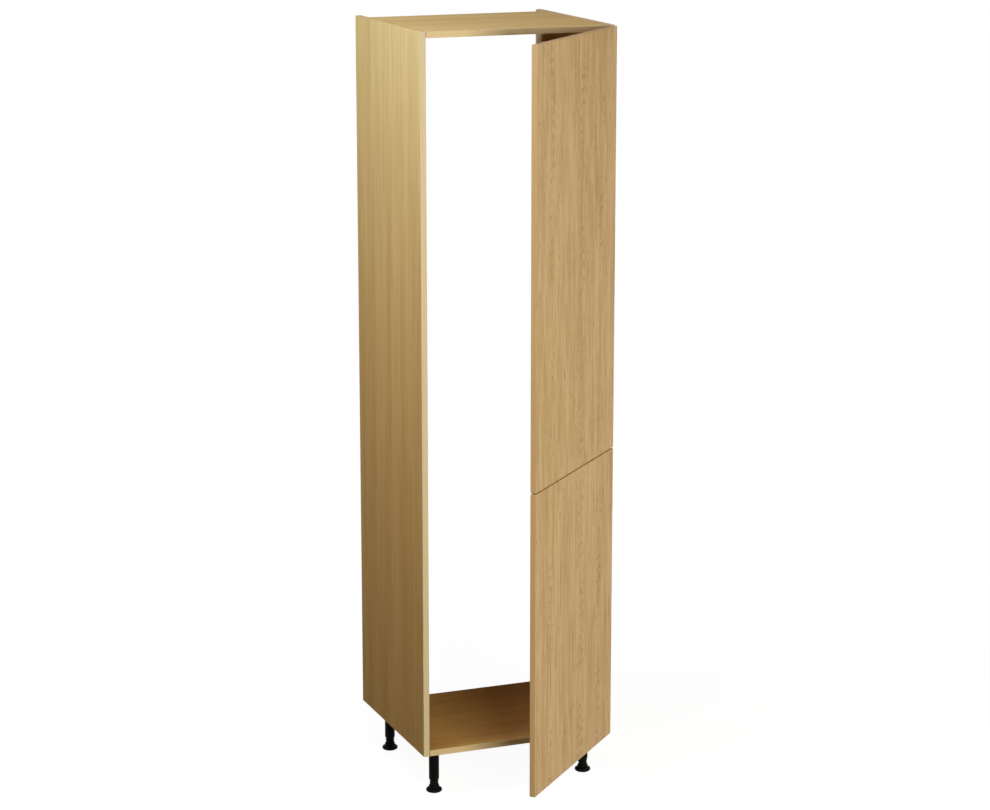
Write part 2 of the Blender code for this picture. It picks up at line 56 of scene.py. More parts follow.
OLIVE_TINT = (0.990, 1.004, 0.976, 1)
ROSY_TINT = (1.013, 0.993, 1.017, 1)

# A cast multiplies the colours of a board's foil. The left board, in the coolest light, has none. The
# right one stands in warmer light, so its foil is a little less yellow.
NO_CAST = (1, 1, 1)
RIGHT_CAST = (1.00, 0.97, 1.32)

# Streaks of the print, each given by its width across the grain and its length along it. The layers
# of the grain also have a weight.
SIDE_GRAIN = (
    (0.080, 2.3, 0.8),
    (0.034, 1.10, 0.7),
    (0.014, 0.55, 0.7),
    (0.0050, 0.20, 0.6),
    (0.0014, 0.06, 0.5),
)
SIDE_TINT = (0.019, 0.70)
SIDE_LINES = (0.012, 0.75)
SIDE_PORES = (0.0014, 0.07)
SIDE_LINE_WEIGHT = 0.42
SIDE_KNOT_CELL = (0.31, 0.9)
SIDE_KNOT_SHARE = 0.022
SIDE_KNOT_WEIGHT = 0.5
SIDE_WANDER = (2.2, 0.03)
SIDE_ROUGHNESS = (0.60, 0.48)

EDGING_LIGHT = (0.885, 0.765, 0.510, 1)
EDGING_DARK = (0.815, 0.672, 0.415, 1)
EDGING_STREAKS = (0.003, 0.25)
EDGING_THICKNESS = 0.0006
GLUE_LINE = 0.0003
# Painted shade: the edging strips of the top and bottom panels are cast more orange, for the warm shade that
# falls on them.
SHORT_EDGING_SHADE_CAST = (1.03, 0.96, 0.82)
# Painted shade: a dark line at the ends of the short boards, for the shadow in the groove where two rounded
# edgings meet.
JOINT_SHADE = (0.200, 0.110, 0.035, 1)
JOINT_WIDTH = 0.0008
CHIP_LIGHT = (0.50, 0.38, 0.24, 1)
CHIP_DARK = (0.22, 0.14, 0.075, 1)
CHIPS_PER_METRE = 420
CORE_DEPTH = 0.0009
UPRIGHT = (0, 0, 0)


def add(tree, kind, values=(), **settings):
    """Add a shader node. Settings are its own properties. Values fills its inputs, by name or
    number, each with a plain value or with another node's output."""
    made = tree.nodes.new(kind)
    for key, value in settings.items():
        setattr(made, key, value)
    for key, value in dict(values).items():
        if isinstance(value, bpy.types.NodeSocket):
            tree.links.new(value, made.inputs[key])
        else:
            made.inputs[key].default_value = value
    return made


def maths(tree, operation, *terms):
    """One sum on numbers or outputs."""
    return add(tree, "ShaderNodeMath", enumerate(terms), operation=operation).outputs[0]


def vectors(tree, operation, *terms):
    """One sum on vectors or colours."""
    return add(tree, "ShaderNodeVectorMath", enumerate(terms), operation=operation).outputs[0]


def split(tree, vector):
    """X, Y and Z of a vector."""
    return add(tree, "ShaderNodeSeparateXYZ", {0: vector}).outputs


def rise(tree, value, start, end):
    """0 below start and 1 above end, with a smooth step between them."""
    values = {0: value, 1: start, 2: end, 3: 0, 4: 1}
    return add(tree, "ShaderNodeMapRange", values, interpolation_type="SMOOTHSTEP").outputs[0]


def mixed(tree, amount, low, high):
    """Colour between two others."""
    values = {0: amount, 6: low, 7: high}
    return add(tree, "ShaderNodeMix", values, data_type="RGBA").outputs[2]


def marked(tree, face, mask, weight, colour):
    """Face with marks in a colour, as strong as the mask times the weight."""
    return mixed(tree, maths(tree, "MULTIPLY", mask, weight), face, colour)


def object_place(tree):
    """Object coordinates."""
    return add(tree, "ShaderNodeTexCoord").outputs["Object"]


def noise(tree, place, scale, detail):
    """Clouds of noise, as a number and as a colour."""
    return add(tree, "ShaderNodeTexNoise", {"Vector": place, "Scale": scale, "Detail": detail}).outputs


def streaks(tree, place, across, along, start, detail=2):
    """Noise drawn out along the grain, whose streaks are about across wide and along long."""
    mapping = {"Vector": place, "Location": (start,) * 3, "Scale": (1 / across, 1 / across, 1 / along)}
    return noise(tree, add(tree, "ShaderNodeMapping", mapping).outputs[0], 1, detail)[0]


def new_material(name, roughness, metallic=0, specular=0.5):
    """Node material, its tree and its Principled shader."""
    material = bpy.data.materials.new(name)
    material.use_nodes = True
    shader = material.node_tree.nodes["Principled BSDF"]
    shader.inputs["Metallic"].default_value = metallic
    shader.inputs["Specular IOR Level"].default_value = specular
    shader.inputs["Roughness"].default_value = roughness
    return material, material.node_tree, shader


def board_axes(tree, middle, turn):
    """Object coordinates counted from a board's middle, with the grain along Z."""
    mapping = {"Vector": object_place(tree), "Location": middle, "Rotation": turn}
    return add(tree, "ShaderNodeMapping", mapping, vector_type="TEXTURE").outputs[0]


def meandering(tree, place, scale, reach):
    """Coordinates pushed aside a little, so that the grain wanders as it runs."""
    push = vectors(tree, "MULTIPLY", noise(tree, place, scale, 2)[1], (reach, reach, 0))
    return vectors(tree, "ADD", place, push)


def grain(tree, place, start, layers):
    """Half, plus each layer of streaks' distance from half times its weight, as a smooth step."""
    total = 0.5 - sum(weight for _, _, weight in layers) / 2
    for number, (across, along, weight) in enumerate(layers):
        layer = streaks(tree, place, across, along, start + 3 * number)
        total = maths(tree, "MULTIPLY_ADD", layer, weight, total)
    return rise(tree, total, 0.15, 0.85)


def tinted(tree, face, place, across, along, start):
    """Face colour turned a little towards olive or rose from one streak to the next."""
    hue = rise(tree, streaks(tree, place, across, along, start), 0.36, 0.64)
    return vectors(tree, "MULTIPLY", face, mixed(tree, hue, OLIVE_TINT, ROSY_TINT))


def knots(tree, place, start, cell, share):
    """Small dark knots, one in most cells of a grid drawn out along the grain. The share is a knot's
    size in cells."""
    mapping = {"Vector": place, "Location": (start,) * 3, "Scale": (1 / cell[0], 0, 1 / cell[1])}
    spread = add(tree, "ShaderNodeMapping", mapping).outputs[0]
    distance = add(tree, "ShaderNodeTexVoronoi", {"Vector": spread, "Scale": 1}).outputs[0]
    return rise(tree, distance, share, 0.4 * share)


def carcass_foil(tree, place, start, cast):
    """Foil of a carcass board, and the colour of its lines: light and dark grain, a drift of tint,
    dark lines and a few knots. The cast multiplies the colours."""
    light, dark, line = (
        (*(channel * factor for channel, factor in zip(colour, cast)), 1)
        for colour in (SIDE_LIGHT, SIDE_DARK, SIDE_LINE)
    )
    face = mixed(tree, grain(tree, place, start, SIDE_GRAIN), dark, light)
    face = tinted(tree, face, place, *SIDE_TINT, start + 20)
    lines = rise(tree, streaks(tree, place, *SIDE_LINES, start + 23, 3), 0.60, 0.74)
    face = marked(tree, face, lines, SIDE_LINE_WEIGHT, line)
    spots = knots(tree, place, start, SIDE_KNOT_CELL, SIDE_KNOT_SHARE)
    return marked(tree, face, spots, SIDE_KNOT_WEIGHT, line), line


def chipboard_mask(tree, place, half_size):
    """1 where the surface lies inside the board, as in a bored hole, and 0 on its outside."""
    x, y, z = split(tree, vectors(tree, "SUBTRACT", half_size, vectors(tree, "ABSOLUTE", place)))
    nearest = maths(tree, "MINIMUM", maths(tree, "MINIMUM", x, y), z)
    return maths(tree, "GREATER_THAN", nearest, CORE_DEPTH)


def chipboard(tree, place):
    """Pressed chips a few millimetres across."""
    chips = add(tree, "ShaderNodeTexVoronoi", {"Vector": place, "Scale": CHIPS_PER_METRE})
    return mixed(tree, split(tree, chips.outputs["Color"])[0], CHIP_DARK, CHIP_LIGHT)


def uneven_sheen(tree, shader, pattern, start, end, roughness):
    """Roughness from the first of two values to the second, as the pattern goes from start to end."""
    values = {0: pattern, 1: start, 2: end, 3: roughness[0], 4: roughness[1]}
    tree.links.new(add(tree, "ShaderNodeMapRange", values).outputs[0], shader.inputs["Roughness"])


def relief(tree, shader, height, strength, distance):
    """Raise the surface a little where the height is great."""
    bump = add(tree, "ShaderNodeBump", {"Strength": strength, "Distance": distance, "Height": height})
    tree.links.new(bump.outputs[0], shader.inputs["Normal"])


def surfaced(tree, shader, colour, pores, roughness):
    """Join a foil's colour to the shader, with its pores in the roughness and the relief."""
    tree.links.new(colour, shader.inputs["Base Color"])
    uneven_sheen(tree, shader, pores, 0.2, 0.8, roughness)
    relief(tree, shader, pores, 0.35, 0.0002)


def carcass_board(node, turn, start, cast):
    """Carcass board in foil, with its edging strip and the glue line behind it at the front, and raw
    chipboard in its holes. A board that isn't upright is a short one. Its strip is painted more orange and
    its ends get a dark line. Both are painted shade: the warm shade on the strip, and the shadow in the
    groove of the joint."""
    short = turn != UPRIGHT
    low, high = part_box(node)
    half = (high - low) / 2
    material, tree, shader = new_material(node, np.mean(SIDE_ROUGHNESS), specular=0)
    place = board_axes(tree, (low + high) / 2, turn)
    wavy = meandering(tree, place, *SIDE_WANDER)
    face, line = carcass_foil(tree, wavy, start, cast)
    strip = mixed(tree, streaks(tree, place, *EDGING_STREAKS, start + 29), EDGING_DARK, EDGING_LIGHT)
    # Painted shade: a short board's strip is cast more orange.
    if short:
        strip = vectors(tree, "MULTIPLY", strip, SHORT_EDGING_SHADE_CAST)
    depth = maths(tree, "SUBTRACT", split(tree, object_place(tree))[1], low.y)
    colour = mixed(tree, maths(tree, "LESS_THAN", depth, EDGING_THICKNESS + GLUE_LINE), face, line)
    colour = mixed(tree, maths(tree, "LESS_THAN", depth, EDGING_THICKNESS), colour, strip)
    if short:
        half = Vector((half.z, half.y, half.x))
        along = maths(tree, "ABSOLUTE", split(tree, place)[2])
        # Painted shade: a dark line at the board's ends, for the shadow in the joint's groove.
        colour = mixed(tree, maths(tree, "GREATER_THAN", along, half.z - JOINT_WIDTH), colour, JOINT_SHADE)
    colour = mixed(tree, chipboard_mask(tree, place, half), colour, chipboard(tree, place))
    pores = streaks(tree, wavy, *SIDE_PORES, start + 26)
    surfaced(tree, shader, colour, pores, SIDE_ROUGHNESS)
    return material


def dress(node, material):
    """Give a CAD node its material."""
    materials = frame["nodes"][node].data.materials
    materials.clear()
    materials.append(material)


for side, start, cast in (("left_side_panel", 0, NO_CAST), ("right_side_panel", 11.3, RIGHT_CAST)):
    dress(side, carcass_board(side, UPRIGHT, start, cast))

# Top and bottom panels. The same board, cut to fit between the sides, with the grain from side to side. They
# stop 72 mm short of the back, where the air behind the fridge rises. The bottom one's foil has painted
# shade: a darker, more orange cast that stands in for the shade inside the unit.
ALONG_THE_PANEL = (0, math.pi / 2, 0)
BOTTOM_SHADE_CAST = (1.02, 0.87, 0.71)
for panel, start, cast in (("bottom_panel", 31.7, BOTTOM_SHADE_CAST), ("top_panel", 37.6, NO_CAST)):
    dress(panel, carcass_board(panel, ALONG_THE_PANEL, start, cast))

# Doors. Slabs faced with a livelier oak foil, with upright grain, dark flecks, small knots and
# columns of pointed heart figure. Their edges are rounded and banded in a slightly paler foil.
DOOR_TURN = (0, 0, math.radians(45))
DOOR_WIDTH = 0.596
DOOR_THICKNESS = 0.018
BANDING_THICKNESS = 0.0010
DOOR_LIGHT = (0.567, 0.412, 0.224, 1)
DOOR_DARK = (0.458, 0.314, 0.151, 1)
DOOR_LINE = (0.340, 0.208, 0.083, 1)
FLECK = (0.250, 0.140, 0.052, 1)
BANDING = (0.600, 0.405, 0.190, 1)
BANDING_WEIGHT = 0.75
DOOR_GRAIN = (
    (0.090, 1.1, 0.6),
    (0.024, 0.34, 0.9),
    (0.009, 0.20, 1.1),
    (0.0040, 0.07, 0.9),
    (0.0013, 0.03, 0.7),
)
DOOR_TINT = (0.013, 0.24)
DOOR_LINES = (0.0085, 0.24)
DOOR_PORES = (0.0013, 0.05)
DOOR_LINE_WEIGHT = 0.50
DASHES = (0.0055, 0.022)
DASH_PATCHES = (0.05, 0.3)
DASH_WEIGHT = 0.6
DOOR_KNOT_CELL = (0.17, 0.40)
DOOR_KNOT_SHARE = 0.045
DOOR_KNOT_WEIGHT = 0.55
DOOR_WANDER = (3.1, 0.024)
DOOR_ROUGHNESS = (0.56, 0.44)

# Middle and half width of each column of heart figure, and the spacing and shape of its arches.
HEART_COLUMNS = ((-0.175, 0.026), (0.055, 0.034), (0.198, 0.028))
HEART_WEIGHT = 0.48
ARCH_RISE = 0.036
ARCH_DROP = 4.2
ARCH_WOBBLE = 15
ARCH_WOBBLES = (0.014, 0.06)
ARCH_PATCHES = (0.05, 0.16)


def heart_figure(tree, place, middle, half_width, start):
    """Column of pointed arches, as where a plank is cut through the heart. Their phase is the
    height in arch rises, plus the square of the distance from the column's middle, plus noise.
    The arches are thin, and show in patches inside the column."""
    across, _, height = split(tree, place)
    off = maths(tree, "MULTIPLY", maths(tree, "SUBTRACT", across, middle), 1 / half_width)
    square = maths(tree, "MULTIPLY", off, off)
    wobble = maths(tree, "MULTIPLY", streaks(tree, place, *ARCH_WOBBLES, start, 3), ARCH_WOBBLE)
    phase = maths(tree, "MULTIPLY_ADD", height, 2 * math.pi / ARCH_RISE, wobble)
    phase = maths(tree, "MULTIPLY_ADD", square, ARCH_DROP, phase)
    arches = rise(tree, maths(tree, "SINE", phase), 0.35, 0.95)
    column = rise(tree, square, 1, 0.15)
    patches = rise(tree, streaks(tree, place, *ARCH_PATCHES, start + 5), 0.42, 0.56)
    return maths(tree, "MULTIPLY", maths(tree, "MULTIPLY", arches, column), patches)


def door_foil(tree, place, start):
    """Foil of a door: grain, a drift of tint, dark lines, heart figure, short dashes and knots."""
    face = mixed(tree, grain(tree, place, start, DOOR_GRAIN), DOOR_DARK, DOOR_LIGHT)
    face = tinted(tree, face, place, *DOOR_TINT, start + 11)
    lines = rise(tree, streaks(tree, place, *DOOR_LINES, start + 17, 3), 0.60, 0.68)
    face = marked(tree, face, lines, DOOR_LINE_WEIGHT, DOOR_LINE)
    for number, (middle, half_width) in enumerate(HEART_COLUMNS):
        figure = heart_figure(tree, place, middle, half_width, start + 7 * number)
        face = marked(tree, face, figure, HEART_WEIGHT, DOOR_LINE)
    dashes = rise(tree, streaks(tree, place, *DASHES, start + 13, 1), 0.66, 0.74)
    patches = rise(tree, streaks(tree, place, *DASH_PATCHES, start + 15), 0.45, 0.6)
    face = marked(tree, face, maths(tree, "MULTIPLY", dashes, patches), DASH_WEIGHT, FLECK)
    spots = knots(tree, place, start, DOOR_KNOT_CELL, DOOR_KNOT_SHARE)
    return marked(tree, face, spots, DOOR_KNOT_WEIGHT, FLECK)


def door_board(node, start):
    """Door in foil, paler where its edges are banded, with raw chipboard in the cups' holes."""
    low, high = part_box(node)
    half = (DOOR_WIDTH / 2, DOOR_THICKNESS / 2, (high.z - low.z) / 2)
    material, tree, shader = new_material(node, np.mean(DOOR_ROUGHNESS), specular=0)
    place = board_axes(tree, (low + high) / 2, DOOR_TURN)
    wavy = meandering(tree, place, *DOOR_WANDER)
    face = door_foil(tree, wavy, start)
    x, _, z = split(tree, vectors(tree, "ABSOLUTE", place))
    sides = maths(tree, "GREATER_THAN", x, half[0] - BANDING_THICKNESS)
    ends = maths(tree, "GREATER_THAN", z, half[2] - BANDING_THICKNESS)
    pale = mixed(tree, BANDING_WEIGHT, face, BANDING)
    face = mixed(tree, maths(tree, "MAXIMUM", sides, ends), face, pale)
    colour = mixed(tree, chipboard_mask(tree, place, half), face, chipboard(tree, place))
    pores = streaks(tree, wavy, *DOOR_PORES, start + 19, 3)
    surfaced(tree, shader, colour, pores, DOOR_ROUGHNESS)
    return material


for door, start in (("upper_door", 3.7), ("lower_door", 25.0)):
    dress(door, door_board(door, start))

# Legs. Each is moulded in black plastic in three pieces: a flanged socket screwed under the bottom
# panel, a smooth tube pushed into it, and a foot whose coarse thread screws in and out of the tube.
LEGS = ("front_left", "front_right", "rear_left", "rear_right")
socket_low, socket_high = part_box("front_left_leg_socket")
AROUND = 96
DISC_RADIUS = 0.0195
FLARE_RADIUS = 0.0243
FLARE_EDGE = 0.0222
SHOULDER_RADIUS = 0.0150
COLLAR_RADIUS = 0.0157
COLLAR_BASE = 0.0138
COLLAR_TOP = 0.0210
GRIPS = 24
GRIP_DEPTH = 0.0004
THREAD_CREST = 0.0139
THREAD_ROOT = 0.0123
THREAD_PITCH = 0.0086
THREAD_RUN_IN = 0.002
THREAD_RUN_OUT = 0.004
THREAD_LEVELS = 96
STEM_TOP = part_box("front_left_leg_foot")[1].z
TUBE_RADIUS = 0.0154
TUBE_BORE = 0.0142
TUBE_BOTTOM = 0.0396
TUBE_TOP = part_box("front_left_leg_tube")[1].z
TUBE_ROUND = 0.0028
SOCKET_TOP = socket_high.z
SOCKET_HALF = ((socket_high.x - socket_low.x) / 2, (socket_high.y - socket_low.y) / 2)
SOCKET_CORNER = 0.008
SOCKET_PLATE = 0.004
SLEEVE_RADIUS = 0.0185
SLEEVE_BORE = 0.0157
SLEEVE_BOTTOM = socket_low.z
SLEEVE_FILLET = 0.0025
EASE = 0.0004
CREASE = math.radians(30)
PLASTIC = (0.0036, 0.0037, 0.0037)
PLASTIC_ROUGHNESS = 0.42

# Outline of the foot from its underside up to the collar. Each corner has its radius, its height and
# how far its rounding reaches.
FOOT_CORNERS = np.array([
    (0.0060, 0.0006, 0),
    (DISC_RADIUS - 0.0020, 0.0006, 0.0003),
    (DISC_RADIUS - 0.0012, 0, 0.0003),
    (DISC_RADIUS, 0, 0.0003),
    (DISC_RADIUS, 0.0010, 0.0002),
    (FLARE_EDGE, 0.0012, 0.0018),
    (FLARE_RADIUS, 0.0040, 0.0020),
    (FLARE_RADIUS, 0.0076, 0.0022),
    (FLARE_EDGE, 0.0108, 0.0026),
    (0.0172, 0.0128, 0.0010),
    (SHOULDER_RADIUS, 0.0132, 0.0004),
    (SHOULDER_RADIUS, COLLAR_BASE, 0),
])


def middle_of(node):
    """Middle of a CAD node's box."""
    low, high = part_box(node)
    return (low + high) / 2


def on_leg(leg):
    """Placement on the floor under the middle of a leg."""
    middle = middle_of(f"{leg}_leg_foot")
    return Matrix.Translation((middle.x, middle.y, 0))


def turn_angles(count):
    """Equal steps of a full turn, starting half a step past the X axis."""
    return 2 * np.pi * (np.arange(count) + 0.5) / count


def turned_rings(profile, count):
    """Rings of a turned shape: each (radius, height) of the profile carried round the Z axis. A
    radius may also be an array with one value for each angle."""
    angle = turn_angles(count)
    rings = [
        np.stack([radius * np.cos(angle), radius * np.sin(angle), np.broadcast_to(height, count)], axis=1)
        for radius, height in profile
    ]
    return np.array(rings)


def level_rings(outlines):
    """Rings from ((x, y) arrays, height) pairs."""
    return np.array([np.column_stack([x, y, np.full(len(x), height)]) for (x, y), height in outlines])


def rounded_rectangle(half, corner, angle, inset=0):
    """Outline of a rounded rectangle, drawn in by the inset: a circle of the corner's radius, whose
    four quarters are moved apart to the corners' centres."""
    x = np.sign(np.cos(angle)) * (half[0] - corner) + (corner - inset) * np.cos(angle)
    y = np.sign(np.sin(angle)) * (half[1] - corner) + (corner - inset) * np.sin(angle)
    return x, y


def eased(corners, distance, steps=4):
    """Profile whose corners are rounded. Each corner is replaced by the parabola between the points
    that lie distance from it towards its neighbours. As the share goes from 0 to 1, the last point
    counts by its square, the first by the square of what is left, and the corner by the rest."""
    share = np.linspace(0, 1, steps)[:, None]
    points = [corners[:1]]
    for before, corner, after, cut in zip(corners, corners[1:], corners[2:], distance[1:]):
        first = corner + (before - corner) * min(0.5, cut / np.linalg.norm(before - corner))
        last = corner + (after - corner) * min(0.5, cut / np.linalg.norm(after - corner))
        points.append((1 - share) ** 2 * first + 2 * share * (1 - share) * corner + share**2 * last)
    points.append(corners[-1:])
    return np.concatenate(points)


def shell(rings, loop=False):
    """Points and faces of a closed surface through equal rings. Quads join each ring to the next.
    A flat face closes each end, or a loop's last ring is joined to its first."""
    count, around, _ = rings.shape
    numbers = np.arange(count * around).reshape(count, around)
    if loop:
        numbers = np.concatenate([numbers, numbers[:1]])
    here, after = numbers[:-1], numbers[1:]
    quads = np.stack([here, np.roll(here, -1, 1), np.roll(after, -1, 1), after], axis=-1)
    faces = quads.reshape(-1, 4).tolist()
    if not loop:
        faces += [numbers[0, ::-1].tolist(), numbers[-1].tolist()]
    return rings.reshape(-1, 3), faces


def moved(part, placement):
    """Shell carried to its place by a 4x4 matrix."""
    points, faces = part
    placement = np.array(placement)
    return points @ placement[:3, :3].T + placement[:3, 3], faces


def built(name, parts):
    """Object made of shells, with its faces turned outwards and its creases kept sharp."""
    starts = np.cumsum([0] + [len(points) for points, _ in parts])
    points = np.concatenate([points for points, _ in parts])
    faces = [[k + start for k in face] for (_, own), start in zip(parts, starts.tolist()) for face in own]
    mesh = bpy.data.meshes.new(name)
    mesh.from_pydata(points.tolist(), [], faces)
    work = bmesh.new()
    work.from_mesh(mesh)
    bmesh.ops.recalc_face_normals(work, faces=work.faces)
    work.to_mesh(mesh)
    work.free()
    mesh.shade_smooth()
    mesh.set_sharp_from_angle(angle=CREASE)
    piece = bpy.data.objects.new(name, mesh)
    bpy.context.scene.collection.objects.link(piece)
    return piece


def finished(piece, material, slot, body, *replaced):
    """Give a piece its material and its body, and hide the CAD nodes that it stands for, if any. The slot is
    not used.
    """
    piece.data.materials.clear()
    piece.data.materials.append(material)
    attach(piece, body)
    if replaced:
        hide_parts(*replaced)


def moulded_plastic(name, colour, roughness):
    """Black plastic with the fine dull texture of its mould and a little unevenness in its sheen."""
    material, tree, shader = new_material(name, roughness, specular=0.03)
    place = object_place(tree)
    cloud = noise(tree, place, 60, 3)[0]
    lighter = (*(2.2 * channel for channel in colour), 1)
    tree.links.new(mixed(tree, cloud, (*colour, 1), lighter), shader.inputs["Base Color"])
    uneven_sheen(tree, shader, cloud, 0.25, 0.75, (roughness - 0.06, roughness + 0.08))
    relief(tree, shader, noise(tree, place, 2600, 2)[0], 0.3, 0.0001)
    return material


leg_plastic = moulded_plastic("leg_plastic", PLASTIC, PLASTIC_ROUGHNESS)
around = turn_angles(AROUND)
bead = eased(FOOT_CORNERS[:, :2], FOOT_CORNERS[:, 2])

# The collar has a groove between each two grips, whose depth follows the cube of a raised cosine.
grip = COLLAR_RADIUS - GRIP_DEPTH * (0.5 + 0.5 * np.cos(GRIPS * around)) ** 3
collar = [
    (grip - 0.0012, COLLAR_BASE),
    (grip - 0.0003, COLLAR_BASE + 0.0004),
    (grip, COLLAR_BASE + 0.0013),
    (grip, COLLAR_TOP - 0.0016),
    (grip - 0.0005, COLLAR_TOP - 0.0005),
    (grip - 0.0016, COLLAR_TOP),
    (THREAD_ROOT, COLLAR_TOP),
]


def thread_radius(height):
    """Radius of a one-start rounded thread: its phase is the height in pitches less the share of a
    turn, and the ridge rises as the fourth power of the cosine of half a turn times the phase. It
    fades in above the collar and out below the stem's top."""
    phase = height / THREAD_PITCH - around / (2 * np.pi)
    fade_out = np.clip((STEM_TOP - height) / THREAD_RUN_OUT, 0, 1)
    fade_in = np.clip((height - COLLAR_TOP) / THREAD_RUN_IN, 0, 1)
    return THREAD_ROOT + (THREAD_CREST - THREAD_ROOT) * fade_out * fade_in * np.cos(np.pi * phase) ** 4


climb = np.linspace(COLLAR_TOP + 0.0004, STEM_TOP - 0.001, THREAD_LEVELS)
stem = [(thread_radius(height), height) for height in climb]
foot_shell = shell(turned_rings([*bead, *collar, *stem, (THREAD_ROOT - 0.001, STEM_TOP)], AROUND))
tube_profile = [
    (TUBE_BORE + 0.0001, TUBE_BOTTOM + 0.0001),
    (TUBE_BORE + 0.0003, TUBE_BOTTOM),
    (TUBE_BORE + 0.0006, TUBE_BOTTOM + 0.0003),
    (TUBE_RADIUS - 0.0003, TUBE_BOTTOM + 0.6 * TUBE_ROUND),
    (TUBE_RADIUS, TUBE_BOTTOM + TUBE_ROUND),
    (TUBE_RADIUS, TUBE_TOP - EASE),
    (TUBE_RADIUS - EASE, TUBE_TOP),
    (TUBE_BORE, TUBE_TOP),
    (TUBE_BORE, TUBE_BOTTOM + EASE),
]
tube_shell = shell(turned_rings(tube_profile, AROUND), loop=True)
plate_bottom = SOCKET_TOP - SOCKET_PLATE
plate_levels = ((EASE, SOCKET_TOP), (0, SOCKET_TOP - EASE), (0, plate_bottom + EASE), (EASE, plate_bottom))
plate = level_rings([
    (rounded_rectangle(SOCKET_HALF, SOCKET_CORNER, around, inset), height) for inset, height in plate_levels
])
sleeve = [
    (SLEEVE_RADIUS + SLEEVE_FILLET, plate_bottom),
    (SLEEVE_RADIUS + 0.0007, plate_bottom - 0.0007),
    (SLEEVE_RADIUS, plate_bottom - SLEEVE_FILLET),
    (SLEEVE_RADIUS, SLEEVE_BOTTOM + EASE),
    (SLEEVE_RADIUS - EASE, SLEEVE_BOTTOM),
    (SLEEVE_BORE + EASE, SLEEVE_BOTTOM),
    (SLEEVE_BORE, SLEEVE_BOTTOM + EASE),
    (SLEEVE_BORE, plate_bottom),
]
socket_shell = shell(np.concatenate([plate, turned_rings(sleeve, AROUND)]))
for leg in LEGS:
    for part, form in (("foot", foot_shell), ("tube", tube_shell), ("socket", socket_shell)):
        piece = built(f"{leg}_{part}", [moved(form, on_leg(leg))])
        body = f"{leg}_foot" if part == "foot" else "carcass"
        finished(piece, leg_plastic, "black_plastic", body, f"{leg}_leg_{part}")

# Socket screws. Four zinc-plated screws with domed, crossed heads hold each leg socket under the
# bottom panel, and no two of the crosses stand alike.
SCREW_RADIUS = 0.0034
SCREW_HEIGHT = 0.0019
SCREW_REACH = 0.0019
SCREW_RECESS = 0.0012
SCREW_INSET = 0.0075
CROSS_SHARE = 0.17
RECESS_FLOOR_SHARE = 0.55
HEAD_SIDES = 32
ZINC = (0.56, 0.57, 0.58)


def combined(base, others, operation):
    """Shell left when other shells are cut from a base shell or joined to it, one by one."""
    piece = built("base", [base])
    for other in others:
        tool = built("tool", [other])
        change = piece.modifiers.new("change", "BOOLEAN")
        change.operation = operation
        change.object = tool
        graph = bpy.context.evaluated_depsgraph_get()
        mesh = bpy.data.meshes.new_from_object(piece.evaluated_get(graph))
        piece.modifiers.clear()
        piece.data = mesh
        bpy.data.objects.remove(tool)
    points = np.empty(len(mesh.vertices) * 3)
    mesh.vertices.foreach_get("co", points)
    faces = [list(face.vertices) for face in mesh.polygons]
    bpy.data.objects.remove(piece)
    return points.reshape(-1, 3), faces


def crossed_head(radius, height, reach, depth):
    """Shell of a domed screw head on z = 0, with a cross recess. As an angle goes through a quarter
    turn, the dome's radius follows the root of its cosine and its height follows its sine."""
    profile = [(0.96 * radius, 0), (radius, 0.1 * height)]
    for angle in np.linspace(0, math.pi / 2, 6)[:-1]:
        profile.append((radius * math.cos(angle) ** 0.5, height * (0.3 + 0.7 * math.sin(angle))))
    bars = []
    for arms in ((CROSS_SHARE, 1), (1, CROSS_SHARE)):
        mouth = reach * np.array(arms)[:, None] * [(1, -1, -1, 1), (1, 1, -1, -1)]
        levels = ((RECESS_FLOOR_SHARE * mouth, height - depth), (mouth, height + depth))
        bars.append(shell(level_rings(levels)))
    return combined(shell(turned_rings(profile, HEAD_SIDES)), bars, "DIFFERENCE")


def plated_steel(name, colour, roughness):
    """Plated steel with a faint cloudiness and fine rubbing marks in its sheen."""
    material, tree, shader = new_material(name, roughness, metallic=1)
    place = object_place(tree)
    dull = (*(0.78 * channel for channel in colour), 1)
    clouded = mixed(tree, noise(tree, place, 140, 4)[0], (*colour, 1), dull)
    tree.links.new(clouded, shader.inputs["Base Color"])
    rubbed = streaks(tree, place, 0.0003, 0.012, 4.1, 3)
    uneven = maths(tree, "MULTIPLY_ADD", rubbed, 0.16, roughness - 0.08)
    tree.links.new(uneven, shader.inputs["Roughness"])
    relief(tree, shader, rubbed, 0.15, 0.00005)
    return material


zinc_plate = plated_steel("zinc_plate", ZINC, 0.34)
screw_head = crossed_head(SCREW_RADIUS, SCREW_HEIGHT, SCREW_REACH, SCREW_RECESS)
FACE_DOWN = Matrix.Rotation(math.pi, 4, "X")
screw_x, screw_y = (half - SCREW_INSET for half in SOCKET_HALF)
for leg in LEGS:
    heads = []
    for side_x in (-1, 1):
        for side_y in (-1, 1):
            spot = Matrix.Translation((side_x * screw_x, side_y * screw_y, plate_bottom))
            turn = Matrix.Rotation(0.7 * side_x + 0.4 * side_y, 4, "Z")
            heads.append(moved(screw_head, on_leg(leg) @ spot @ FACE_DOWN @ turn))
    finished(built(f"{leg}_socket_screws", heads), zinc_plate, "zinc_plate", "carcass")

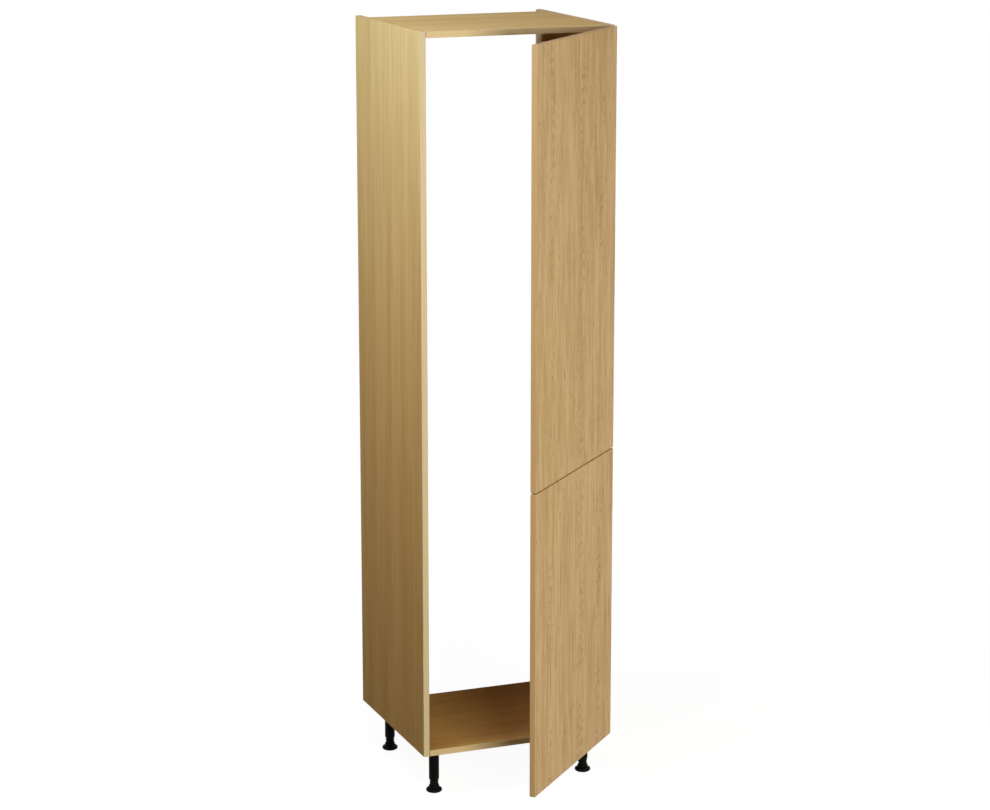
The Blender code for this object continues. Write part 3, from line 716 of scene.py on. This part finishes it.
# Hinge cups. Each is pressed from nickel-plated sheet: a round cup let into the door, with a flange
# whose two ears are screwed to the door, a slot for the link, and a pin across the cup.
HINGES = (("upper", 1), ("upper", 2), ("upper", 3), ("lower", 1), ("lower", 2))
DOOR_MIDDLE = Vector((*middle_of("upper_door").xy, 0))
ALONG_DOOR = Vector((math.sqrt(0.5), math.sqrt(0.5), 0))
INTO_CABINET = Vector((-math.sqrt(0.5), math.sqrt(0.5), 0))
CUP_FROM_MIDDLE = 0.2770
CUP_RADIUS = 0.0172
CUP_INSIDE = 0.0162
CUP_DEPTH = 0.0122
CUP_FLOOR = 0.0008
SEAT_GAP = 0.0003
OVERRUN = 0.002
FLANGE_ROUND = 0.0187
FLANGE_HALF = (0.0065, 0.0290)
FLANGE_TOP = 0.0012
NOTCH_HALF = 0.0048
NOTCH_DEPTH = 0.0035
PIN_RADIUS = 0.00125
EAR_SCREW = 0.0235
NICKEL = (0.66, 0.64, 0.60)

# The pin's place from the cup's middle and its depth. It stands 3.5 mm nearer to the door's edge
# than the eye of the link.
PIN_OFF = 0.0125
PIN_DEPTH = 0.0085


def frame_matrix(origin, x_axis, y_axis):
    """Placement whose X and Y axes lie along the two given directions."""
    columns = Matrix((x_axis, y_axis, Vector(x_axis).cross(y_axis))).transposed()
    return Matrix.Translation(origin) @ columns.to_4x4()


def lift_to(level, number):
    """Placement at the height of one of the hinges."""
    return Matrix.Translation((0, 0, middle_of(f"{level}_hinge_{number}_arm").z))


def eared_flange(inset, angle):
    """Outline of a round plate with two ears. At each angle its radius is the greater of the
    circle's and that of the ears' rectangle, which is a superellipse of the eighth power."""
    half_x, half_y = (half - inset for half in FLANGE_HALF)
    rectangle = ((np.abs(np.cos(angle)) / half_x) ** 8 + (np.abs(np.sin(angle)) / half_y) ** 8) ** (-1 / 8)
    radius = np.maximum(FLANGE_ROUND - inset, rectangle)
    return radius * np.cos(angle), radius * np.sin(angle)


def bar(low, high):
    """Shell of a plain block between two corners, used as a cutter."""
    (x0, y0, z0), (x1, y1, z1) = low, high
    corners = (np.array([x0, x1, x1, x0]), np.array([y0, y0, y1, y1]))
    return shell(level_rings([(corners, z0), (corners, z1)]))


def rod(radius, start, end, count=24):
    """Shell of a pin along Z with slightly rounded ends."""
    ease = 0.15 * radius
    profile = [(radius - ease, start), (radius, start + ease), (radius, end - ease), (radius - ease, end)]
    return shell(turned_rings(profile, count))


# The angles of the cup's outlines are closer together near its X axis, where the slot is cut.
even = turn_angles(240)
cup_angles = even - 0.22 * np.sin(2 * even)
outside = [
    (CUP_RADIUS - 0.0016, -CUP_DEPTH),
    (CUP_RADIUS - 0.0005, -CUP_DEPTH + 0.0005),
    (CUP_RADIUS, -CUP_DEPTH + 0.0016),
    (CUP_RADIUS, SEAT_GAP),
]
flange = [
    (0.00015, SEAT_GAP),
    (0, SEAT_GAP + 0.00015),
    (0, FLANGE_TOP - 0.0003),
    (0.0003, FLANGE_TOP),
]
inside = [
    (CUP_INSIDE + 0.0006, FLANGE_TOP),
    (CUP_INSIDE + 0.0001, FLANGE_TOP - 0.0002),
    (CUP_INSIDE, FLANGE_TOP - 0.0007),
    (CUP_INSIDE, CUP_FLOOR - CUP_DEPTH + 0.0012),
    (CUP_INSIDE - 0.0004, CUP_FLOOR - CUP_DEPTH + 0.0003),
    (CUP_INSIDE - 0.0013, CUP_FLOOR - CUP_DEPTH),
]
outer_rings, inner_rings = (
    level_rings([((r * np.cos(cup_angles), r * np.sin(cup_angles)), height) for r, height in rounds])
    for rounds in (outside, inside)
)
flange_rings = level_rings([(eared_flange(inset, cup_angles), height) for inset, height in flange])
cup_shell = shell(np.concatenate([outer_rings, flange_rings, inner_rings]))
notch = bar((PIN_OFF, -NOTCH_HALF, -NOTCH_DEPTH), (FLANGE_ROUND + OVERRUN, NOTCH_HALF, FLANGE_TOP + OVERRUN))
cup_shell = combined(cup_shell, [notch], "DIFFERENCE")
ALONG_Y = Matrix.Rotation(-math.pi / 2, 4, "X")
pin_half = math.sqrt((CUP_RADIUS - 0.0005) ** 2 - PIN_OFF**2)
pin_place = Matrix.Translation((PIN_OFF, 0, -PIN_DEPTH)) @ ALONG_Y
cup_pin = moved(rod(PIN_RADIUS, -pin_half, pin_half), pin_place)
cup_shell = combined(cup_shell, [cup_pin], "UNION")
ear_head = crossed_head(0.0038, 0.0010, 0.0019, 0.0008)
nickel_plate = plated_steel("nickel_plate", NICKEL, 0.26)
cup_middle = DOOR_MIDDLE + ALONG_DOOR * CUP_FROM_MIDDLE + INTO_CABINET * DOOR_THICKNESS / 2
IN_DOOR = frame_matrix(cup_middle, ALONG_DOOR, Vector((0, 0, -1)))
for level, number in HINGES:
    place = lift_to(level, number) @ IN_DOOR
    cup = built(f"{level}_cup_{number}", [moved(cup_shell, place)])
    finished(cup, nickel_plate, "nickel_plate", f"{level}_door", f"{level}_hinge_{number}_cup")
    heads = []
    for side in (-1, 1):
        spot = Matrix.Translation((0, side * EAR_SCREW, FLANGE_TOP))
        turn = Matrix.Rotation(0.5 * side + number, 4, "Z")
        heads.append(moved(ear_head, place @ spot @ turn))
    finished(built(f"{level}_cup_{number}_screws", heads), zinc_plate, "zinc_plate", f"{level}_door")

# Hinge links. A short stamped steel link with an eye at each end, which reaches from the arm's pin
# into the cup, and turns a little as the door opens.
joints = {joint["name"]: joint for joint in frame["joints"]}
ARM_PIVOT, CUP_PIVOT = (
    Vector((*joints[name]["pos_m"][:2], 0)) for name in ("upper_link_turn", "upper_door_turn")
)
EYE_RADIUS = 0.0024
EYE_HOLE = 0.00155
LINK_HALF_THICKNESS = 0.0016
LINK_HALF_WIDTH = 0.0044
LINK_EASE = 0.0003


def pressed(outline, low, high, ease):
    """Shell of a plate: a closed outline carried straight up, drawn in by ease at both ends. The
    outline is drawn in along its normals, which are its tangents turned a quarter."""
    x, y = outline
    along_x = np.roll(x, -1) - np.roll(x, 1)
    along_y = np.roll(y, -1) - np.roll(y, 1)
    length = np.hypot(along_x, along_y)
    steps = ((ease, low), (0.3 * ease, low + 0.3 * ease), (0, low + ease))
    steps += ((0, high - ease), (0.3 * ease, high - 0.3 * ease), (ease, high))
    return shell(level_rings([
        ((x - inset * along_y / length, y + inset * along_x / length), height) for inset, height in steps
    ]))


def arc(centre, radius, start, end, count):
    """Points of an arc, counterclockwise from one angle to another."""
    angle = np.linspace(start, end, count)
    return np.column_stack([centre[0] + radius * np.cos(angle), centre[1] + radius * np.sin(angle)])


link_reach = CUP_PIVOT - ARM_PIVOT
neck = math.asin(LINK_HALF_THICKNESS / EYE_RADIUS)
link_outline = np.concatenate([
    arc((0, 0), EYE_RADIUS, neck, 2 * math.pi - neck, 20),
    arc((link_reach.length, 0), EYE_RADIUS, neck - math.pi, math.pi - neck, 20),
])
hole = rod(EYE_HOLE, -LINK_HALF_WIDTH - OVERRUN, LINK_HALF_WIDTH + OVERRUN)
holes = [moved(hole, Matrix.Translation((x, 0, 0))) for x in (0, link_reach.length)]
link_body = pressed(link_outline.T, -LINK_HALF_WIDTH, LINK_HALF_WIDTH, LINK_EASE)
link_shell = combined(link_body, holes, "DIFFERENCE")
link_lie = Matrix.Rotation(math.atan2(link_reach.y, link_reach.x), 4, "Z")
for level, number in HINGES:
    place = lift_to(level, number) @ Matrix.Translation(ARM_PIVOT) @ link_lie
    link = built(f"{level}_link_{number}", [moved(link_shell, place)])
    finished(link, nickel_plate, "nickel_plate", f"{level}_hinge_links", f"{level}_hinge_{number}_link")

# Hinge arms. A steel channel clipped over the mounting plate, which narrows to a fork with the pin
# of the link. It holds the side adjusting screw, and the screw that clamps it stands in a slot.
SIDE_FACE, FRONT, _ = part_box("right_side_panel")[0]
ARM_SHEET = 0.0014
CHEEK_EDGE = SIDE_FACE - 0.0026
WEB_OUTER = SIDE_FACE - 0.0107
WEB_INNER = WEB_OUTER + ARM_SHEET
CHANNEL_HALF = 0.0047
ARM_HALF_WIDTH = CHANNEL_HALF + ARM_SHEET
ARM_EASE = 0.0007
TIP_RADIUS = 0.0028
WAIST = FRONT + 0.0120
FORK_END = FRONT - 0.0020
ARM_END = FRONT + 0.0660
PIN_INTO_CHEEK = 0.0013
SLOT_HALF = (0.0060, 0.0022)
SLOT_CORNER = 0.00219

# Place, size and turn of the clamping screw and of the side adjusting screw.
CLAMP_SCREW = FRONT + 0.05262
ARM_SCREWS = ((CLAMP_SCREW, 1, -0.945), (FRONT + 0.02312, 0.8, -3.6))

left_of_tip = ARM_PIVOT.x - TIP_RADIUS
arm_corners = np.array([
    (ARM_PIVOT.x + TIP_RADIUS, ARM_PIVOT.y, 0),
    (CHEEK_EDGE, WAIST, 0.004),
    (CHEEK_EDGE, ARM_END, 0.0015),
    (WEB_OUTER, ARM_END, 0.0015),
    (WEB_OUTER, WAIST, 0.006),
    (left_of_tip, ARM_PIVOT.y, 0),
])
tip = arc(ARM_PIVOT, TIP_RADIUS, math.pi, 2 * math.pi, 18)[1:-1]
arm_outline = np.concatenate([tip, eased(arm_corners[:, :2], arm_corners[:, 2], 6)])
arm_body = pressed(arm_outline.T, -ARM_HALF_WIDTH, ARM_HALF_WIDTH, ARM_EASE)
slope = (WEB_OUTER - left_of_tip) / (WAIST - ARM_PIVOT.y)
web_at_fork = left_of_tip + slope * (FORK_END - ARM_PIVOT.y) + ARM_SHEET
before_tip = ARM_PIVOT.y - TIP_RADIUS - OVERRUN
channel_outline = np.array([
    (WEB_INNER, ARM_END + OVERRUN),
    (WEB_INNER, WAIST),
    (web_at_fork, FORK_END),
    (left_of_tip - OVERRUN, FORK_END),
    (left_of_tip - OVERRUN, before_tip),
    (CHEEK_EDGE + OVERRUN, before_tip),
    (CHEEK_EDGE + OVERRUN, ARM_END + OVERRUN),
])
channel = shell(level_rings([(channel_outline.T, height) for height in (-CHANNEL_HALF, CHANNEL_HALF)]))
slot_outline = rounded_rectangle(SLOT_HALF, SLOT_CORNER, turn_angles(32))
slot_place = frame_matrix((WEB_OUTER, CLAMP_SCREW, 0), Vector((0, 1, 0)), Vector((0, 0, 1)))
slot = moved(shell(level_rings([(slot_outline, height) for height in (-OVERRUN, OVERRUN)])), slot_place)
arm_shell = combined(arm_body, [channel, slot], "DIFFERENCE")
pin_reach = CHANNEL_HALF + PIN_INTO_CHEEK
arm_pin = moved(rod(PIN_RADIUS, -pin_reach, pin_reach), Matrix.Translation(ARM_PIVOT))
arm_shell = combined(arm_shell, [arm_pin], "UNION")
arm_head = crossed_head(0.0034, 0.0016, 0.0021, 0.0012)
for level, number in HINGES:
    lift = lift_to(level, number)
    arm = built(f"{level}_arm_{number}", [moved(arm_shell, lift)])
    finished(arm, nickel_plate, "nickel_plate", "carcass", f"{level}_hinge_{number}_arm")
    heads = []
    for y, size, angle in ARM_SCREWS:
        facing = frame_matrix((WEB_OUTER, y, 0), Vector((0, 0, 1)), Vector((0, 1, 0)))
        turn = Matrix.Rotation(angle + number, 4, "Z") @ Matrix.Scale(size, 4)
        heads.append(moved(arm_head, lift @ facing @ turn))
    finished(built(f"{level}_arm_{number}_screws", heads), zinc_plate, "zinc_plate", "carcass")

# Mounting plates. A raised block of nickel-plated steel that the arm clips over, on two wings, each
# held to the side panel by a screw.
SCREW_LINE = FRONT + 0.037
WING_HALF = (0.0250, 0.0070)
WING_CORNER = 0.0060
WING_THICKNESS = 0.0020
WING_EASE = 0.0004
WING_SCREW = 0.0160
BLOCK_MIDDLE = FRONT + 0.045
BLOCK_HALF = (0.0044, 0.0230)
BLOCK_CORNER = 0.0010
BLOCK_BASE = 0.0013
BLOCK_TOP = 0.0090
BLOCK_EASE = 0.0006
ON_SIDE = frame_matrix((SIDE_FACE, 0, 0), Vector((0, 0, 1)), Vector((0, 1, 0)))
plate_angles = turn_angles(48)
wing_top = WING_THICKNESS + SEAT_GAP
wing_outline = rounded_rectangle(WING_HALF, WING_CORNER, plate_angles)
wings = moved(pressed(wing_outline, SEAT_GAP, wing_top, WING_EASE), Matrix.Translation((0, SCREW_LINE, 0)))
block_outline = rounded_rectangle(BLOCK_HALF, BLOCK_CORNER, plate_angles)
block = pressed(block_outline, BLOCK_BASE, BLOCK_TOP, BLOCK_EASE)
plate_shell = combined(wings, [moved(block, Matrix.Translation((0, BLOCK_MIDDLE, 0)))], "UNION")
wing_head = crossed_head(0.0036, 0.0016, 0.0020, 0.0011)
for level, number in HINGES:
    place = lift_to(level, number) @ ON_SIDE
    plate = built(f"{level}_plate_{number}", [moved(plate_shell, place)])
    finished(plate, nickel_plate, "nickel_plate", "carcass", f"{level}_hinge_{number}_plate")
    heads = []
    for side in (-1, 1):
        spot = Matrix.Translation((side * WING_SCREW, SCREW_LINE, wing_top))
        heads.append(moved(wing_head, place @ spot @ Matrix.Rotation(side + number, 4, "Z")))
    finished(built(f"{level}_plate_{number}_screws", heads), zinc_plate, "zinc_plate", "carcass")

# Cam fittings. Die-cast zinc cams, turned with a cross-headed driver from below, pull on the bolts
# that stand out of the side panels. A beech dowel between each two keeps the panel in line.
CAM_RADIUS = 0.0075
CAM_TOP = 0.0122
CAM_SIDES = 64
RECESS_HALF = (0.00475, 0.0009)
RECESS_TOP = 0.0022
MOUTH_RADIUS = 0.0036
MOUTH_HEIGHT = 0.0090
CAST_ZINC = (0.42, 0.42, 0.43)
BEECH_LIGHT = (0.62, 0.44, 0.25, 1)
BEECH_DARK = (0.48, 0.31, 0.15, 1)
BEECH_RAYS = (0.0005, 0.004)


def bare_beech():
    """Bare turned beech with short dark rays along the grain."""
    material, tree, shader = new_material("beech", 0.62, specular=0.2)
    rays = streaks(tree, board_axes(tree, (0, 0, 0), ALONG_THE_PANEL), *BEECH_RAYS, 0.3, 3)
    wood = mixed(tree, rise(tree, rays, 0.35, 0.7), BEECH_DARK, BEECH_LIGHT)
    tree.links.new(wood, shader.inputs["Base Color"])
    relief(tree, shader, rays, 0.4, 0.0001)
    return material


cast_zinc = plated_steel("cast_zinc", CAST_ZINC, 0.46)
beech = bare_beech()
cam_profile = [
    (CAM_RADIUS - 0.0016, SEAT_GAP + 0.0004),
    (CAM_RADIUS - 0.0012, SEAT_GAP + 0.0001),
    (CAM_RADIUS - 0.0006, SEAT_GAP),
    (CAM_RADIUS - 0.0002, SEAT_GAP + 0.0002),
    (CAM_RADIUS, SEAT_GAP + 0.0006),
    (CAM_RADIUS, CAM_TOP - 0.0004),
    (CAM_RADIUS - 0.0004, CAM_TOP),
]
cam_body = shell(turned_rings(cam_profile, CAM_SIDES))
recess = [
    bar((-x, -y, SEAT_GAP - OVERRUN), (x, y, RECESS_TOP)) for x, y in (RECESS_HALF, RECESS_HALF[::-1])
]
mouth_place = Matrix.Translation((0, 0, MOUTH_HEIGHT)) @ Matrix.Rotation(math.pi / 2, 4, "Y")
mouth = moved(rod(MOUTH_RADIUS, 0, CAM_RADIUS + OVERRUN, 32), mouth_place)
cam_shell = combined(cam_body, [*recess, mouth], "DIFFERENCE")
for level in ("bottom", "top"):
    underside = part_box(f"{level}_panel")[0].z
    for end in ("left_front", "left_rear", "right_front", "right_rear"):
        middle = middle_of(f"{level}_{end}_cam")
        facing = Matrix.Rotation(0 if middle.x > 0 else math.pi, 4, "Z")
        place = Matrix.Translation((middle.x, middle.y, underside)) @ facing
        cam = built(f"{level}_{end}_cam_disc", [moved(cam_shell, place)])
        finished(cam, cast_zinc, "cast_zinc", "carcass", f"{level}_{end}_cam")
        dress(f"{level}_{end}_cam_bolt", zinc_plate)
    for end in ("left", "right"):
        dress(f"{level}_{end}_dowel", beech)

# Floor and light. A plain pale floor that reads as white paper, with a faint shadow at the feet,
# and six plain soft lamps. The light that the floor throws back and the ambient light are warm, as
# in the shade under and inside the unit.
FLOOR_HALF_SIZE = 30
FLOOR_BOUNCE = (0.145, 0.125, 0.080, 1)
SHADOW_TAKER = (0.16, 0.16, 0.16, 1)
PAPER_GLOW = 0.94
SHADOW_FADES = (0.9, 2.2)
WHITE = (1, 1, 1, 1)
AMBIENT = (0.020, 0.009, 0.005, 1)


def seen_directly(tree):
    """1 for rays that show the background: from the camera, in a reflection or through glass."""
    path = add(tree, "ShaderNodeLightPath").outputs
    seen = maths(tree, "MAXIMUM", path["Is Camera Ray"], path["Is Glossy Ray"])
    return maths(tree, "MAXIMUM", seen, path["Is Transmission Ray"])


def emptied(tree):
    """Node tree without its nodes."""
    tree.nodes.clear()
    return tree


reach = FLOOR_HALF_SIZE
floor_corners = [(-reach, -reach, 0), (reach, -reach, 0), (reach, reach, 0), (-reach, reach, 0)]
floor_mesh = bpy.data.meshes.new("floor")
floor_mesh.from_pydata(floor_corners, [], [(0, 1, 2, 3)])
floor = bpy.data.objects.new("floor", floor_mesh)
bpy.context.scene.collection.objects.link(floor)
paper = bpy.data.materials.new("paper")
paper.use_nodes = True
floor_mesh.materials.append(paper)
tree = emptied(paper.node_tree)
bounce = add(tree, "ShaderNodeBsdfDiffuse", {0: FLOOR_BOUNCE}).outputs[0]
shadowed = add(tree, "ShaderNodeBsdfDiffuse", {0: SHADOW_TAKER}).outputs[0]
nearly_white = add(tree, "ShaderNodeEmission", {0: WHITE, 1: PAPER_GLOW}).outputs[0]
near = add(tree, "ShaderNodeAddShader", {0: shadowed, 1: nearly_white}).outputs[0]
far = add(tree, "ShaderNodeEmission", {0: WHITE, 1: 1}).outputs[0]
distance = add(tree, "ShaderNodeVectorMath", {0: object_place(tree)}, operation="LENGTH").outputs[1]
faded = rise(tree, distance, *SHADOW_FADES)
shown = add(tree, "ShaderNodeMixShader", {0: faded, 1: near, 2: far}).outputs[0]
surface = add(tree, "ShaderNodeMixShader", {0: seen_directly(tree), 1: bounce, 2: shown}).outputs[0]
add(tree, "ShaderNodeOutputMaterial", {0: surface})

world = bpy.data.worlds.new("studio")
bpy.context.scene.world = world
world.use_nodes = True
tree = emptied(world.node_tree)
ambient = add(tree, "ShaderNodeBackground", {0: AMBIENT, 1: 1}).outputs[0]
backdrop = add(tree, "ShaderNodeBackground", {0: WHITE, 1: 1}).outputs[0]
sky = add(tree, "ShaderNodeMixShader", {0: seen_directly(tree), 1: ambient, 2: backdrop}).outputs[0]
add(tree, "ShaderNodeOutputWorld", {0: sky})


def soft_lamp(name, place, aim, size, watts, colour):
    """Rectangular lamp at place, facing aim."""
    data = bpy.data.lights.new(name, "AREA")
    data.shape = "RECTANGLE"
    data.size, data.size_y = size
    data.energy = watts
    data.color = colour
    lamp = bpy.data.objects.new(name, data)
    lamp.location = place
    lamp.rotation_euler = (Vector(aim) - Vector(place)).to_track_quat("-Z", "Y").to_euler()
    bpy.context.scene.collection.objects.link(lamp)


# The cool key lamp stands high at the left and the warm left one at mid height, so the left side
# grows darker and warmer downwards. The front and right ones light the doors evenly. The one above
# lights the top panel, and the low one behind gives the back a little light.
soft_lamp("key", (-1.75, -0.12, 3.05), (-0.3, 0.15, 2.75), (0.8, 0.8), 24.3, (0.74, 1.02, 1.40))
soft_lamp("front", (-0.5, -5.0, 2.0), (-0.1, -0.2, 1.1), (1.6, 1.3), 145, (1.07, 1.03, 0.90))
soft_lamp("right", (3.8, -2.5, 0.9), (0.1, -0.2, 0.9), (1.8, 2.0), 114, (1.05, 1.00, 0.98))
soft_lamp("above", (-0.9, -0.35, 4.8), (0, -0.1, 1), (1.5, 1.5), 41.5, (1.05, 0.95, 1.06))
soft_lamp("behind", (0.8, 5.5, 0.15), (0, 0.2, 1.1), (2.4, 0.25), 26, (1.00, 0.95, 1.08))
soft_lamp("left", (-2.2, -0.1, 1.72), (-0.3, 0.15, 1.55), (0.8, 1.2), 5.9, (1.66, 0.94, 0.41))

# Camera. It has a long lens, stands in front of the unit and to its left, at the photograph's place,
# and looks slightly down. The lens and the sensor are in millimetres.
CAMERA_PLACE = (-3.0100, -7.5091, 3.0438)
CAMERA_YAW = math.radians(21.528)
CAMERA_DOWN = math.radians(13.005)
LENS = 102.251
SENSOR_WIDTH = 36
camera_data = bpy.data.cameras.new("camera")
camera_data.lens = LENS
camera_data.sensor_width = SENSOR_WIDTH
camera = bpy.data.objects.new("camera", camera_data)
camera.location = CAMERA_PLACE
camera.rotation_euler = (math.pi / 2 - CAMERA_DOWN, 0, -CAMERA_YAW)
bpy.context.scene.collection.objects.link(camera)
bpy.context.scene.camera = camera
bpy.context.scene.view_settings.view_transform = "Standard"
